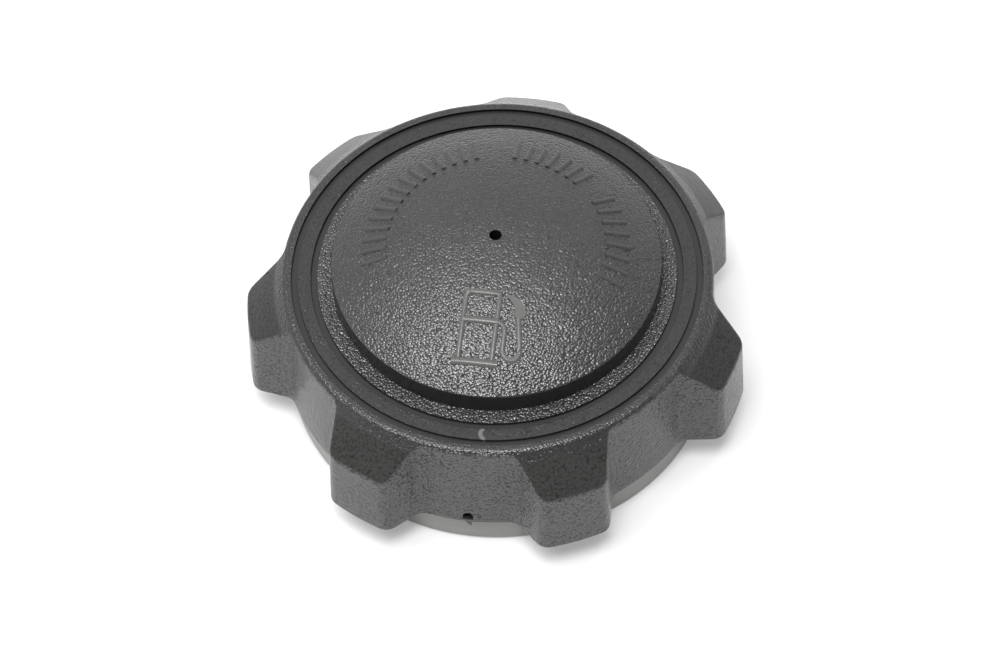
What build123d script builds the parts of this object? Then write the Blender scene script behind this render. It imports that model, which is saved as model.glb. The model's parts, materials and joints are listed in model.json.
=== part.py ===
"""Fuel filler cap with a seven-lobed grip, a ratchet drive and a vent valve.

The cap stands on its mouth, with its axis on +Z and its origin in the middle
of the mouth. All lengths are in millimetres and all angles in degrees.
"""

import os
from math import cos, radians, sin, sqrt, tan

from build123d import *

os.makedirs("parts", exist_ok=True)

# Tank neck that the cap screws on
thread_root_radius = 32.1
thread_depth = 15.0

# Closure: the threaded cup inside the shell
closure_wall = 2.2
plate_thickness = 2.2
collar_reach = 3.2
collar_height = 6.0
collar_chamfer = 0.5
collar_channel_depth = 4.2
collar_channel_inner_wall = 1.9
collar_channel_outer_wall = 1.8
bead_reach = 1.05
bead_height = 1.4
bead_ramp = 1.0
rim_wall = 1.1
rim_wall_height = 3.8

# Gasket in its pocket at the top of the thread
gasket_thickness = 2.5
gasket_width = 5.4
gasket_step = 0.4
gasket_clearance = 0.1

# Plan of the lobed grip, at the bottom edge of the skirt
snap_room = 0.95
grip_wall = 2.2
lobe_depth = 6.1
lobe_count = 7
lobe_azimuth = -74.5
lobe_half_width = 6.0
lobe_flank_angle = 22.0
lobe_corner_radius = 2.5
valley_corner_radius = 2.6

# Skirt of the grip
skirt_gap = 0.2
deck_room = 0.6
skirt_edge_radius = 0.7
draft_angle = 1.5
inner_lobe_corner_radius = 0.8
inner_valley_corner_radius = 3.4
lobe_rib_thickness = 1.4
lobe_rib_height = 9.0

# Deck of the shell: lands and two grooves round a raised dome
rim_setback = 1.2
facet_angle = 45.0
facet_edge_radius = 1.0
rim_radius = 1.1
rim_land = 1.2
middle_land = 2.3
dome_land = 2.6
groove_width = 1.15
groove_depth = 0.55
dome_wall_height = 4.0
dome_rise = 7.5
dome_edge_radius = 0.35
vent_hole_radius = 1.1
drip_lip_wall = 0.9
drip_lip_height = 1.2

# Snap hooks that hold the shell on the closure
hook_valleys = (0, 2, 5)
hook_width = 1.8
hook_reach = 0.6
hook_height = 1.1
hook_window_height = 1.9
hook_clearance = 0.1
hook_tab_drop = 0.9
hook_tab_offset = 0.5
hook_tab_thickness = 0.55

# Ratchet between the closure and the shell
thrust_washer_thickness = 0.5
thrust_play = 0.1
tooth_count = 24
tooth_depth = 1.6
tooth_ring_wall = 1.9
tooth_ring_clearance = 0.3
ratchet_room = 7.1
hub_wall = 2.3
hub_height = 4.9
hub_barb_reach = 0.45
hub_barb_height = 0.6
spline_count = 6
spline_width = 3.0
spline_depth = 1.0
spline_clearance = 0.08
ratchet_ring_wall = 2.4
ratchet_ring_height = 4.2
pawl_count = 6
pawl_thickness = 1.25
pawl_clearance = 0.15
pawl_tip_angle = 1.0
pawl_nose_angle = 6.0
pawl_root_angle = 40.0
pawl_root_spread = 3.0
pawl_root_sink = 0.2
pawl_lift = 0.7

# Vent valve in the middle of the closure
valve_tube_radius = 10.0
valve_tube_wall = 2.0
valve_port_radius = 4.0
seat_setback = 1.2
seat_lip_wall = 0.8
seat_lip_height = 0.8
seal_inner_margin = 0.7
seal_outer_margin = 1.6
seal_thickness = 1.2
seal_clearance = 0.1
poppet_margin = 0.8
poppet_thickness = 1.3
poppet_spigot_height = 1.0
poppet_fin_count = 4
poppet_fin_azimuth = 45.0
poppet_fin_thickness = 1.4
poppet_fin_height = 4.0
poppet_guide_clearance = 0.08
poppet_travel = 2.0
vacuum_port_count = 4
vacuum_port_radius = 0.6
vacuum_port_circle = 2.7
umbrella_radius = 3.9
umbrella_thickness = 0.7
umbrella_stem_radius = 0.9
umbrella_bulb_radius = 1.5
umbrella_bulb_height = 1.0
spring_radius = 6.0
spring_wire = 0.8
spring_wire_sides = 6
spring_turns = 3.0
spring_reserve = 1.2
spring_collar_wall = 0.6
spring_collar_height = 0.8

# Retainer, filter and cover on top of the valve, and the baffle below it
retainer_seat = 0.8
retainer_bore_radius = 2.7
retainer_thickness = 1.4
retainer_clearance = 0.1
retainer_slot_count = 5
retainer_slot_width = 2.0
retainer_slot_inner_wall = 2.9
retainer_slot_outer_wall = 1.6
filter_thickness = 2.0
cover_thickness = 1.2
cover_spigot_wall = 1.3
cover_slot_count = 6
cover_slot_width = 1.0
cover_slot_length = 3.6
cover_slot_circle = 6.4
plate_rib_count = 6
plate_rib_thickness = 1.5
plate_rib_height = 2.4
baffle_radius = 8.6
baffle_thickness = 1.0
baffle_gap = 1.1
baffle_leg_count = 3
baffle_leg_azimuth = 15.0
baffle_leg_radius = 1.5
baffle_peg_radius = 1.0
baffle_peg_circle = 7.0
peg_clearance = 0.05

# How far a cut runs past a surface, and how near counts as touching
overcut = 1.0
touch = 0.01

# Radii worked out from the sizes above, from the neck outwards
closure_radius = thread_root_radius + closure_wall
collar_radius = closure_radius + collar_reach
bead_radius = closure_radius + bead_reach
valley_radius = bead_radius + snap_room + grip_wall
tip_radius = valley_radius + lobe_depth
facet_start_radius = valley_radius - rim_setback
outer_groove_radius = facet_start_radius - rim_land - groove_width
inner_groove_radius = outer_groove_radius - middle_land - groove_width
dome_radius = inner_groove_radius - dome_land
dome_sphere_radius = (dome_radius**2 + dome_rise**2) / (2 * dome_rise)

# Radii of the gasket and the ratchet, from the closure's wall inwards
gasket_pocket_radius = thread_root_radius - gasket_step
gasket_radius = gasket_pocket_radius - gasket_clearance
rim_wall_bore = closure_radius - rim_wall
tooth_ring_radius = rim_wall_bore - tooth_ring_clearance
tooth_root_radius = tooth_ring_radius - tooth_ring_wall
tooth_tip_radius = tooth_root_radius - tooth_depth
hub_radius = tooth_tip_radius - ratchet_room
ring_bore = hub_radius + spline_clearance
ring_outer = ring_bore + ratchet_ring_wall

# Radii of the valve, from the port outwards
seat_lip_radius = valve_port_radius + seat_setback
seal_inner_radius = seat_lip_radius - seal_inner_margin
seal_outer_radius = seat_lip_radius + seat_lip_wall + seal_outer_margin
poppet_radius = seal_outer_radius + poppet_margin
fin_radius = valve_tube_radius - poppet_guide_clearance
valve_tube_outer_radius = valve_tube_radius + valve_tube_wall
retainer_radius = valve_tube_radius + retainer_seat
retainer_pocket_radius = retainer_radius + retainer_clearance
retainer_slot_start = retainer_bore_radius + retainer_slot_inner_wall
retainer_slot_end = retainer_radius - retainer_slot_outer_wall
spigot_bore = retainer_radius - cover_spigot_wall

# Heights worked out from the sizes above, from the mouth upwards
skirt_bottom = collar_height + skirt_gap
plate_underside = thread_depth + gasket_thickness
plate_top = plate_underside + plate_thickness
deck_underside = plate_top + hub_height + deck_room
deck_top = deck_underside + grip_wall
skirt_height = deck_top - skirt_bottom
dome_edge_height = deck_top + dome_wall_height
dome_apex = dome_edge_height + dome_rise
hook_top = skirt_bottom + hook_height
bead_bottom = hook_top + hook_clearance
washer_top = plate_top + thrust_washer_thickness
tooth_ring_bottom = washer_top + thrust_play
ratchet_ring_top = plate_top + ratchet_ring_height
seat_top = plate_top + seat_lip_height
poppet_bottom = seat_top + seal_thickness
poppet_top = poppet_bottom + poppet_thickness
spring_length = spring_turns * spring_wire + poppet_travel + spring_reserve
retainer_bottom = poppet_top + spring_length
retainer_top = retainer_bottom + retainer_thickness
valve_tube_top = retainer_top + filter_thickness

# Angles worked out from the counts and slopes above
tooth_pitch = 360 / tooth_count
lobe_pitch = 360 / lobe_count
draft_slope = tan(radians(draft_angle))
facet_slope = tan(radians(facet_angle))
flank_slope = tan(radians(lobe_flank_angle))


def polar(radius: float, angle: float) -> tuple[float, float]:
    """Return the plane point at a radius and an angle from +X."""
    return radius * cos(radians(angle)), radius * sin(radians(angle))


def ramp_radius(angle: float) -> float:
    """Return the radius of a tooth's straight ramp at an angle past its steep face."""
    end_x, end_y = polar(tooth_tip_radius, tooth_pitch)
    unit_x, unit_y = polar(1, angle)
    run_x = tooth_root_radius - end_x
    return end_y * tooth_root_radius / (end_y * unit_x + run_x * unit_y)


def lobed_outline(
    height: float, inset: float, corner_radius: float, valley_fillet: float
) -> Sketch:
    """Draw the lobed outline at a height, moved inwards by an inset."""
    half_width = lobe_half_width - inset / cos(radians(lobe_flank_angle))
    root_x = valley_radius / 2
    root_y = half_width + (tip_radius - root_x) * flank_slope
    end_x = tip_radius + lobe_depth
    end_y = half_width + (tip_radius - end_x) * flank_slope
    middle_radius = (tip_radius + valley_radius) / 2 - inset
    with BuildSketch(Plane.XY.offset(height)) as outline:
        with PolarLocations(0, lobe_count, start_angle=lobe_azimuth):
            Polygon(
                (root_x, -root_y), (end_x, -end_y), (end_x, end_y), (root_x, root_y), align=None
            )
        Circle(tip_radius - inset, mode=Mode.INTERSECT)
        Circle(valley_radius - inset)
        tips = outline.vertices().filter_by(lambda v: sqrt(v.X**2 + v.Y**2) > middle_radius)
        fillet(tips, corner_radius)
        roots = outline.vertices().filter_by(
            lambda v: abs(sqrt(v.X**2 + v.Y**2) - valley_radius + inset) < touch
        )
        fillet(roots, valley_fillet)
    return outline.sketch


def ring(inner_radius: float, outer_radius: float, bottom: float, top: float) -> Part:
    """Make a plain ring between two radii and two heights."""
    with BuildPart() as body:
        with BuildSketch(Plane.XY.offset(bottom)):
            Circle(outer_radius)
            Circle(inner_radius, mode=Mode.SUBTRACT)
        extrude(amount=top - bottom)
    return body.part


def facet_cone(drop: float) -> Part:
    """Make the space above the sloping facets, lowered by a drop."""
    top = deck_top + overcut
    near_x = facet_start_radius - (drop + overcut) / facet_slope
    far_x = tip_radius + lobe_depth
    far_z = deck_top - drop - (far_x - facet_start_radius) * facet_slope
    with BuildPart() as body:
        with BuildSketch(Plane.XZ):
            Polygon((near_x, top), (far_x, far_z), (far_x, top), align=None)
        revolve(axis=Axis.Z)
    return body.part


def dome_solid(inset: float, bottom: float) -> Part:
    """Make the space under the dome's sphere, moved inwards by an inset."""
    centre_z = dome_apex - dome_sphere_radius
    radius = dome_radius - inset
    sphere = dome_sphere_radius - inset
    edge_z = centre_z + sqrt(sphere**2 - radius**2)
    middle = (radius / 2, centre_z + sqrt(sphere**2 - (radius / 2) ** 2))
    with BuildPart() as body:
        with BuildSketch(Plane.XZ) as profile:
            with BuildLine():
                Polyline((0, centre_z + sphere), (0, bottom), (radius, bottom), (radius, edge_z))
                ThreePointArc((radius, edge_z), middle, (0, centre_z + sphere))
            make_face()
            edge = profile.vertices().filter_by(
                lambda v: abs(v.X - radius) < touch and abs(v.Y - edge_z) < touch
            )
            fillet(edge, dome_edge_radius)
        revolve(axis=Axis.Z)
    return body.part


# Space inside the skirt, with a rib left standing in each lobe
inner_corners = (inner_lobe_corner_radius, inner_valley_corner_radius)
cavity_height = deck_underside - skirt_bottom
cavity_draft = cavity_height * draft_slope
with BuildPart() as skirt_cavity:
    loft(
        [
            lobed_outline(skirt_bottom, grip_wall, *inner_corners).face(),
            lobed_outline(deck_underside, grip_wall + cavity_draft, *inner_corners).face(),
        ]
    )
    add(facet_cone(grip_wall / cos(radians(facet_angle))), mode=Mode.SUBTRACT)
    rib_root_x = valley_radius - grip_wall - cavity_draft
    with BuildSketch(Plane.XY.offset(deck_underside)):
        with PolarLocations(rib_root_x, lobe_count, start_angle=lobe_azimuth):
            Rectangle(tip_radius - rib_root_x, lobe_rib_thickness, align=(Align.MIN, Align.CENTER))
    extrude(amount=-(cavity_height - lobe_rib_height), mode=Mode.SUBTRACT)

# Ring of saw teeth under the deck, steep on the side that loosens
with BuildPart() as tooth_ring:
    with BuildSketch(Plane.XY.offset(tooth_ring_bottom)):
        Circle(tooth_ring_radius)
        Circle(tooth_tip_radius, mode=Mode.SUBTRACT)
        with PolarLocations(0, tooth_count):
            Polygon(
                (tooth_tip_radius - overcut, 0),
                (tooth_root_radius, 0),
                polar(tooth_tip_radius, tooth_pitch),
                align=None,
                mode=Mode.SUBTRACT,
            )
    extrude(amount=deck_underside - tooth_ring_bottom)

# Grip shell: lobed skirt, deck, dome, teeth and snap hooks in one moulding
outer_corners = (lobe_corner_radius, valley_corner_radius)
with BuildPart() as grip_shell:
    loft(
        [
            lobed_outline(skirt_bottom, 0, *outer_corners).face(),
            lobed_outline(deck_top, skirt_height * draft_slope, *outer_corners).face(),
        ]
    )
    add(facet_cone(0), mode=Mode.SUBTRACT)
    rim_edge = grip_shell.faces().filter_by(GeomType.CONE).edges().sort_by(SortBy.LENGTH)[-1]
    fillet(rim_edge, rim_radius)
    facet_edges = grip_shell.faces().filter_by(GeomType.CONE).edges().sort_by(SortBy.LENGTH)[:-1]
    fillet(facet_edges, facet_edge_radius)
    bottom_edges = grip_shell.faces().sort_by(Axis.Z)[0].edges()
    fillet(bottom_edges, skirt_edge_radius)
    for groove_radius in (inner_groove_radius, outer_groove_radius):
        add(
            ring(
                groove_radius, groove_radius + groove_width,
                deck_top - groove_depth, deck_top + overcut,
            ),
            mode=Mode.SUBTRACT,
        )
    add(dome_solid(0, deck_underside))
    add(skirt_cavity.part, mode=Mode.SUBTRACT)
    add(dome_solid(grip_wall, deck_underside - overcut), mode=Mode.SUBTRACT)
    add(tooth_ring.part)
    for index in hook_valleys:
        azimuth = lobe_azimuth + (index - 0.5) * lobe_pitch
        outward = Vector(*polar(1, azimuth), 0)
        sideways = Vector(*polar(1, azimuth + 90), 0)
        wall_plane = Plane((0, 0, 0), x_dir=sideways, z_dir=outward)
        hook_plane = Plane((0, 0, 0), x_dir=outward, z_dir=sideways * -1)
        with BuildSketch(wall_plane.offset(bead_radius)):
            arch_z = hook_top + hook_window_height - hook_width / 2
            with Locations((0, (hook_top + arch_z) / 2)):
                Rectangle(hook_width, arch_z - hook_top)
            with Locations((0, arch_z)):
                Circle(hook_width / 2)
        extrude(amount=valley_radius - bead_radius + overcut, mode=Mode.SUBTRACT)
        with BuildSketch(hook_plane):
            Polygon(
                (valley_radius - grip_wall / 2, skirt_bottom),
                (bead_radius - hook_reach / 2, skirt_bottom),
                (bead_radius - hook_reach, skirt_bottom + hook_height / 2),
                (bead_radius - hook_reach, hook_top),
                (valley_radius - grip_wall / 2, hook_top),
                align=None,
            )
        extrude(amount=hook_width / 2, both=True)
        with BuildSketch(wall_plane.offset(valley_radius - hook_tab_thickness)):
            Polygon(
                (-hook_width / 2, hook_top),
                (hook_width / 2, hook_top),
                (hook_tab_offset, skirt_bottom - hook_tab_drop),
                align=None,
            )
        extrude(amount=hook_tab_thickness)
    lip_bottom = dome_apex - grip_wall - drip_lip_height
    lip_radius = vent_hole_radius + drip_lip_wall
    add(ring(vent_hole_radius, lip_radius, lip_bottom, dome_apex - grip_wall / 2))
    with Locations((0, 0, dome_apex)):
        Hole(vent_hole_radius, depth=2 * grip_wall + drip_lip_height)
grip_shell.part.label = "grip_shell"
export_step(grip_shell.part, "parts/grip_shell.step")

# Closure: threaded cup with a collar, a snap bead, a ratchet hub and a valve tube
with BuildPart() as threaded_closure:
    with BuildSketch(Plane.XZ) as cup_profile:
        with BuildLine():
            Polyline(
                (0, plate_underside),
                (gasket_pocket_radius, plate_underside),
                (gasket_pocket_radius, thread_depth),
                (thread_root_radius, thread_depth),
                (thread_root_radius, 0),
                (collar_radius, 0),
                (collar_radius, collar_height),
                (closure_radius, collar_height),
                (closure_radius, bead_bottom),
                (bead_radius, bead_bottom),
                (bead_radius, bead_bottom + bead_height - bead_ramp),
                (closure_radius, bead_bottom + bead_height),
                (closure_radius, plate_top + rim_wall_height),
                (rim_wall_bore, plate_top + rim_wall_height),
                (rim_wall_bore, plate_top),
                (hub_radius, plate_top),
                (hub_radius, plate_top + hub_height),
                (hub_radius - hub_wall, plate_top + hub_height),
                (hub_radius - hub_wall, plate_top),
                (valve_tube_outer_radius, plate_top),
                (valve_tube_outer_radius, valve_tube_top),
                (retainer_pocket_radius, valve_tube_top),
                (retainer_pocket_radius, retainer_bottom),
                (valve_tube_radius, retainer_bottom),
                (valve_tube_radius, plate_top),
                (seat_lip_radius + seat_lip_wall, plate_top),
                (seat_lip_radius + seat_lip_wall, seat_top),
                (seat_lip_radius, seat_top),
                (seat_lip_radius, plate_top),
                (0, plate_top),
                close=True,
            )
        make_face()
    revolve(axis=Axis.Z)
    add(
        ring(
            thread_root_radius + collar_channel_inner_wall,
            collar_radius - collar_channel_outer_wall,
            -overcut,
            collar_channel_depth,
        ),
        mode=Mode.SUBTRACT,
    )
    with Locations((0, 0, plate_top)):
        Hole(valve_port_radius, depth=plate_thickness)
    rib_start = valve_tube_radius + valve_tube_wall / 2
    rib_end = hub_radius - hub_wall / 2
    with BuildSketch(Plane.XY.offset(plate_top - plate_thickness / 2)):
        with PolarLocations(rib_start, plate_rib_count):
            Rectangle(rib_end - rib_start, plate_rib_thickness, align=(Align.MIN, Align.CENTER))
    extrude(amount=plate_rib_height + plate_thickness / 2)
    with BuildSketch(Plane.XY.offset(plate_top - plate_thickness / 2)):
        with PolarLocations(hub_radius, spline_count):
            Rectangle(2 * spline_depth, spline_width)
    extrude(amount=hub_height + plate_thickness / 2)
    barb_z = ratchet_ring_top + spline_clearance
    with BuildSketch(Plane.XZ):
        Polygon(
            (hub_radius - hub_wall / 2, barb_z),
            (hub_radius + hub_barb_reach, barb_z),
            (hub_radius, barb_z + hub_barb_height),
            (hub_radius - hub_wall / 2, barb_z + hub_barb_height),
            align=None,
        )
    revolve(axis=Axis.Z)
    with Locations((0, 0, plate_underside)):
        with PolarLocations(baffle_peg_circle, baffle_leg_count, start_angle=baffle_leg_azimuth):
            Cylinder(
                baffle_peg_radius + peg_clearance,
                plate_thickness,
                align=(Align.CENTER, Align.CENTER, Align.MIN),
                mode=Mode.SUBTRACT,
            )
    collar_edges = threaded_closure.edges().filter_by(GeomType.CIRCLE).filter_by(
        lambda e: abs(e.radius - collar_radius) < touch and abs(e.center().Z) < touch
    )
    chamfer(collar_edges, collar_chamfer)
threaded_closure.part.label = "threaded_closure"
export_step(threaded_closure.part, "parts/threaded_closure.step")

# Ratchet ring: a splined ring with curved spring pawls in one moulding
nose_tip_radius = ramp_radius(pawl_tip_angle) - pawl_clearance
nose_end_radius = ramp_radius(pawl_nose_angle) - pawl_clearance
middle_angle = (pawl_nose_angle + pawl_root_angle) / 2
middle_radius = (nose_end_radius + ring_outer) / 2 + pawl_lift / 2
with BuildPart() as ratchet_ring:
    with BuildSketch(Plane.XY.offset(plate_top)):
        Circle(ring_outer)
        Circle(ring_bore, mode=Mode.SUBTRACT)
        with PolarLocations(hub_radius, spline_count):
            Rectangle(
                2 * (spline_depth + spline_clearance),
                spline_width + 2 * spline_clearance,
                mode=Mode.SUBTRACT,
            )
    extrude(amount=ratchet_ring_height)
    with BuildSketch(Plane.XY.offset(washer_top + thrust_play)) as pawl_profile:
        with BuildLine():
            nose_tip = polar(nose_tip_radius, pawl_tip_angle)
            nose_end = polar(nose_end_radius, pawl_nose_angle)
            back = polar(middle_radius, middle_angle)
            root_outer = polar(ring_outer - pawl_root_sink, pawl_root_angle)
            root_inner = polar(ring_outer - pawl_thickness, pawl_root_angle - pawl_root_spread)
            belly = polar(middle_radius - pawl_thickness, middle_angle)
            heel = polar(nose_end_radius - pawl_thickness, pawl_nose_angle)
            toe = polar(nose_tip_radius - pawl_thickness, pawl_tip_angle)
            Line(nose_tip, nose_end)
            ThreePointArc(nose_end, back, root_outer)
            Line(root_outer, root_inner)
            ThreePointArc(root_inner, belly, heel)
            Line(heel, toe)
            Line(toe, nose_tip)
        make_face()
    pawl = extrude(amount=ratchet_ring_top - washer_top - thrust_play)
    for index in range(1, pawl_count):
        add(pawl.rotate(Axis.Z, index * 360 / pawl_count))
ratchet_ring.part.label = "ratchet_ring"
export_step(ratchet_ring.part, "parts/ratchet_ring.step")

# Thrust washer that the teeth's wall turns on
with BuildPart() as thrust_washer:
    add(ring(tooth_tip_radius, tooth_ring_radius, plate_top, washer_top))
thrust_washer.part.label = "thrust_washer"
export_step(thrust_washer.part, "parts/thrust_washer.step")

# Flat gasket that the tank neck's lip seals against
with BuildPart() as sealing_gasket:
    add(ring(gasket_radius - gasket_width, gasket_radius, thread_depth, plate_underside))
sealing_gasket.part.label = "sealing_gasket"
export_step(sealing_gasket.part, "parts/sealing_gasket.step")

# Poppet: the lifting valve plate, with guide fins and vacuum ports
collar_outer = spring_radius - spring_wire / 2 - seal_clearance
with BuildPart() as pressure_poppet:
    with BuildSketch(Plane.XY.offset(poppet_bottom)):
        Circle(poppet_radius)
    extrude(amount=poppet_thickness)
    with BuildSketch(Plane.XY.offset(poppet_bottom)):
        Circle(seal_inner_radius - seal_clearance)
    extrude(amount=-poppet_spigot_height)
    with BuildSketch(Plane.XY.offset(poppet_bottom)):
        with PolarLocations(seal_outer_radius, poppet_fin_count, start_angle=poppet_fin_azimuth):
            Rectangle(
                fin_radius - seal_outer_radius,
                poppet_fin_thickness,
                align=(Align.MIN, Align.CENTER),
            )
        Circle(fin_radius, mode=Mode.INTERSECT)
    extrude(amount=poppet_fin_height)
    add(
        ring(
            collar_outer - spring_collar_wall,
            collar_outer,
            poppet_top - poppet_thickness / 2,
            poppet_top + spring_collar_height,
        )
    )
    with Locations((0, 0, poppet_top)):
        Hole(umbrella_stem_radius, depth=poppet_thickness + poppet_spigot_height)
        with PolarLocations(vacuum_port_circle, vacuum_port_count):
            Hole(vacuum_port_radius, depth=poppet_thickness + poppet_spigot_height)
pressure_poppet.part.label = "pressure_poppet"
export_step(pressure_poppet.part, "parts/pressure_poppet.step")

# Flat seal under the poppet
with BuildPart() as poppet_seal:
    add(ring(seal_inner_radius, seal_outer_radius, seat_top, poppet_bottom))
poppet_seal.part.label = "poppet_seal"
export_step(poppet_seal.part, "parts/poppet_seal.step")

# Umbrella valve: thin rubber disc, stem and bulb
umbrella_top = poppet_bottom - poppet_spigot_height
with BuildPart() as vacuum_valve:
    with BuildSketch(Plane.XZ):
        Polygon(
            (0, umbrella_top - umbrella_thickness),
            (umbrella_stem_radius, umbrella_top - umbrella_thickness),
            (umbrella_radius, umbrella_top - umbrella_thickness / 2),
            (umbrella_radius, umbrella_top),
            (umbrella_stem_radius, umbrella_top),
            (umbrella_stem_radius, poppet_top),
            (umbrella_bulb_radius, poppet_top),
            (umbrella_stem_radius, poppet_top + umbrella_bulb_height),
            (0, poppet_top + umbrella_bulb_height),
            align=None,
        )
    revolve(axis=Axis.Z)
vacuum_valve.part.label = "vacuum_valve"
export_step(vacuum_valve.part, "parts/vacuum_valve.step")

# Coil spring between the poppet and its retainer
coil_height = spring_length - spring_wire
with BuildPart() as pressure_spring:
    with BuildLine(Plane.XY.offset(poppet_top + spring_wire / 2)):
        coil = Helix(coil_height / spring_turns, coil_height, spring_radius)
    with BuildSketch(Plane(coil @ 0, z_dir=coil % 0)):
        RegularPolygon(spring_wire / 2, spring_wire_sides)
    sweep(is_frenet=True)
pressure_spring.part.label = "pressure_spring"
export_step(pressure_spring.part, "parts/pressure_spring.step")

# Slotted retainer that holds the spring down
with BuildPart() as spring_retainer:
    with BuildSketch(Plane.XY.offset(retainer_bottom)):
        Circle(retainer_radius)
        with PolarLocations(retainer_slot_start, retainer_slot_count):
            Rectangle(
                retainer_slot_end - retainer_slot_start,
                retainer_slot_width,
                align=(Align.MIN, Align.CENTER),
                mode=Mode.SUBTRACT,
            )
        Circle(retainer_bore_radius, mode=Mode.SUBTRACT)
    extrude(amount=retainer_thickness)
spring_retainer.part.label = "spring_retainer"
export_step(spring_retainer.part, "parts/spring_retainer.step")

# Foam filter on the retainer
with BuildPart() as vent_filter:
    with BuildSketch(Plane.XY.offset(retainer_top)):
        Circle(spigot_bore - retainer_clearance)
    extrude(amount=filter_thickness)
vent_filter.part.label = "vent_filter"
export_step(vent_filter.part, "parts/vent_filter.step")

# Slotted cover plugged into the valve tube over the filter
with BuildPart() as filter_cover:
    with BuildSketch(Plane.XY.offset(valve_tube_top)):
        Circle(valve_tube_outer_radius)
        with PolarLocations(cover_slot_circle, cover_slot_count):
            Rectangle(cover_slot_length, cover_slot_width, mode=Mode.SUBTRACT)
    extrude(amount=cover_thickness)
    add(ring(spigot_bore, retainer_radius, retainer_top, valve_tube_top + cover_thickness / 2))
filter_cover.part.label = "filter_cover"
export_step(filter_cover.part, "parts/filter_cover.step")

# Splash baffle below the port, on three legs pegged into the plate
baffle_top = plate_underside - baffle_gap
with BuildPart() as splash_baffle:
    with BuildSketch(Plane.XY.offset(baffle_top)):
        Circle(baffle_radius)
    extrude(amount=-baffle_thickness)
    with BuildSketch(Plane.XY.offset(baffle_top)):
        with PolarLocations(baffle_peg_circle, baffle_leg_count, start_angle=baffle_leg_azimuth):
            Circle(baffle_leg_radius)
    extrude(amount=baffle_gap)
    with BuildSketch(Plane.XY.offset(plate_underside)):
        with PolarLocations(baffle_peg_circle, baffle_leg_count, start_angle=baffle_leg_azimuth):
            Circle(baffle_peg_radius)
    extrude(amount=plate_thickness)
splash_baffle.part.label = "splash_baffle"
export_step(splash_baffle.part, "parts/splash_baffle.step")
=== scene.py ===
"""Fuel filler cap: finishes, neck thread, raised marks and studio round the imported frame.

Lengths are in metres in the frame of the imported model, with +Z up the cap's axis, -Y
towards the camera and the mouth's rim on z = 0.
"""

import json
import logging
import math
from collections.abc import Callable, Sequence
from dataclasses import dataclass
from enum import Enum

import bpy
from mathutils import Matrix, Vector


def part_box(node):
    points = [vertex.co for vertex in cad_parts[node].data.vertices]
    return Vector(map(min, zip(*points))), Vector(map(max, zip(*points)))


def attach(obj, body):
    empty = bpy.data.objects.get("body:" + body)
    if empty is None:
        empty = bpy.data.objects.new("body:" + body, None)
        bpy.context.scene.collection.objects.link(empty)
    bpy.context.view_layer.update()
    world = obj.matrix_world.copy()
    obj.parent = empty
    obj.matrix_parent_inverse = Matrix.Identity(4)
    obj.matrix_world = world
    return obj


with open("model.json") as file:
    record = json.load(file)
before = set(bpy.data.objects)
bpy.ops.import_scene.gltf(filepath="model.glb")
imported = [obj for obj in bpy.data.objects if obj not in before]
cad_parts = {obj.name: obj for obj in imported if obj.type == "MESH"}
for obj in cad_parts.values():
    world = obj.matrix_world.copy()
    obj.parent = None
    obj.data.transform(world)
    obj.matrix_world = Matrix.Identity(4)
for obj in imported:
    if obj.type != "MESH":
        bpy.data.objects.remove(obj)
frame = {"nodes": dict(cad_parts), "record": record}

MM = 0.001
WHITE = (1.0, 1.0, 1.0, 1.0)

Socket = bpy.types.NodeSocket
Value = float | Socket
Point = tuple[float, float]
Span = tuple[float, float]
Triple = tuple[float, float, float]

log = logging.getLogger("fuel_filler_cap")


class Body(Enum):
    """Bodies of the cap that the added pieces ride on."""

    CLOSURE = "closure_body"
    GRIP = "grip_body"


class Slot(Enum):
    """Material slots of the cap's pieces."""

    GRIP = "grip_plastic"
    CLOSURE = "closure_plastic"
    ACETAL = "acetal"
    RUBBER = "seal_rubber"
    STEEL = "spring_steel"
    FOAM = "filter_foam"


@dataclass(frozen=True)
class CapForm:
    """Sizes of the cap's outside that the finishes and raised marks follow."""

    deck_height: float = 27.4 * MM
    facet_start_radius: float = 37.3 * MM
    valley_radius: float = 38.5 * MM
    groove_width: float = 1.15 * MM
    outer_groove_radius: float = 34.95 * MM
    inner_groove_radius: float = 31.5 * MM
    dome_radius: float = 28.9 * MM
    dome_rise: float = 7.5 * MM
    apex_height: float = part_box("grip_shell")[1].z

    @property
    def sphere_radius(self) -> float:
        """Radius of the sphere that the dome is part of."""
        return (self.dome_radius**2 + self.dome_rise**2) / (2 * self.dome_rise)

    @property
    def sphere_height(self) -> float:
        """Height of the sphere's centre, below the floor."""
        return self.apex_height - self.sphere_radius


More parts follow.
